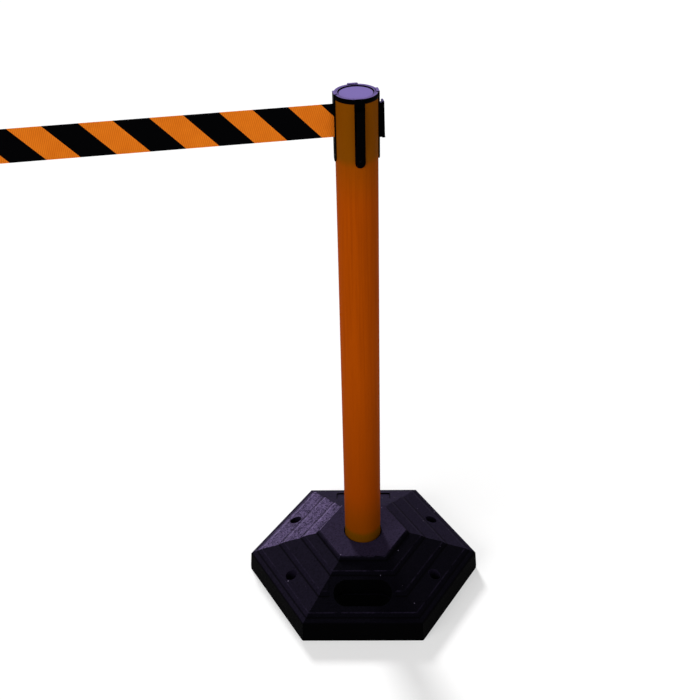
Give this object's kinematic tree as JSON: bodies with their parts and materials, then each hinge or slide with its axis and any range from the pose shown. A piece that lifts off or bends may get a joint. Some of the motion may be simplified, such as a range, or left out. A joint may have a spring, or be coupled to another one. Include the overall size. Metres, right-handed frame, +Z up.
{
  "type": "retractable belt barrier post",
  "caption": "Plastic barrier post in a stepped six-sided rubber base with a hand hole and stake holes; its four-way head holds a sprung striped belt with a latching end clip.",
  "frame": {"origin": "centre of the base's underside, on the floor", "axes": "+Z up the post; -Y towards the flat with the hand hole; the belt leaves towards -X, turned 10 degrees towards -Y"},
  "size_m": [0.7979, 0.36, 0.9187],
  "materials": {
    "rubber": "matt, slightly granular",
    "orange_plastic": "satin",
    "black_plastic": "satin",
    "rail_plastic": "satin",
    "lid_plastic": "smooth satin",
    "latch_plastic": "smooth",
    "white_plastic": "smooth",
    "belt_fabric": "woven, orange with black slanting stripes",
    "zinc_steel": "zinc plated",
    "dark_steel": "black oxide",
    "spring_steel": "blued",
    "brass": "turned",
    "brake_lining": "matt"
  },
  "bodies": {
    "base": {"base_block": "rubber", "socket_sleeve": "black_plastic", "backing_plate": "zinc_steel"},
    "post": {"post_tube": "orange_plastic", "foot_plug": "black_plastic", "plug_rivets": "zinc_steel", "clamp_bolt": "zinc_steel", "clamp_nut": "zinc_steel", "clamp_washer": "zinc_steel", "collar": "black_plastic", "lid": "black_plastic", "lid_disc": "lid_plastic", "lid_screws": "zinc_steel", "exit_channel": "black_plastic", "channel_right": "black_plastic", "channel_back": "black_plastic", "channel_front": "black_plastic", "rail_right": "rail_plastic", "rail_back": "rail_plastic", "rail_front": "rail_plastic", "channel_screws": "dark_steel", "cassette": "black_plastic", "cassette_cover": "black_plastic", "guide_pins": "zinc_steel", "spindle": "zinc_steel", "spindle_clips": "spring_steel", "belt_lead": "belt_fabric", "spring_cup": "zinc_steel", "spring_cover": "zinc_steel", "power_spring": "spring_steel", "brake_ring": "zinc_steel"},
    "spool": {"spool_drum": "white_plastic", "spool_bushes": "brass", "belt_roll": "belt_fabric", "brake_pins": "zinc_steel"},
    "brake_a": {"brake_shoe_a": "brake_lining"},
    "brake_b": {"brake_shoe_b": "brake_lining"},
    "belt_end": {"belt_webbing": "belt_fabric", "clip_half_a": "black_plastic", "clip_half_b": "black_plastic", "clip_screws": "dark_steel", "belt_bar": "zinc_steel"},
    "latch": {"latch_bolt": "latch_plastic"}
  },
  "joints": [
    {"name": "post_turn", "type": "hinge", "parent": "base", "child": "post", "pos_m": [0, 0, 0.06], "axis": [0, 0, 1], "range_deg": [-180, 180]},
    {"name": "belt_pull", "type": "slide", "parent": "post", "child": "belt_end", "axis": [-0.9848, -0.1736, 0], "range_m": [-0.5409, 1.62], "stiffness_N_per_m": 2.2, "springref_m": -2.4, "deforming": ["belt_webbing"]},
    {"name": "spool_spin", "type": "hinge", "parent": "post", "child": "spool", "pos_m": [0, 0, 0.877], "axis": [0, 0, 1], "continuous": true, "deforming": ["power_spring"]},
    {"name": "brake_a_swing", "type": "hinge", "parent": "spool", "child": "brake_a", "pos_m": [0.01527, 0.00269, 0.846], "axis": [0, 0, -1], "range_deg": [0, 3], "stiffness_Nm_per_rad": 0.02, "springref_deg": -5.73},
    {"name": "brake_b_swing", "type": "hinge", "parent": "spool", "child": "brake_b", "pos_m": [-0.01527, -0.00269, 0.846], "axis": [0, 0, -1], "range_deg": [0, 3], "stiffness_Nm_per_rad": 0.02, "springref_deg": -5.73},
    {"name": "latch_pull", "type": "slide", "parent": "belt_end", "child": "latch", "axis": [-0.1736, 0.9848, 0], "range_m": [0, 0.003], "stiffness_N_per_m": 300, "springref_m": -0.004}
  ],
  "couplings": [
    {"joint": "spool_spin", "follows": "belt_pull", "rad_per_m": -47.775}
  ]
}
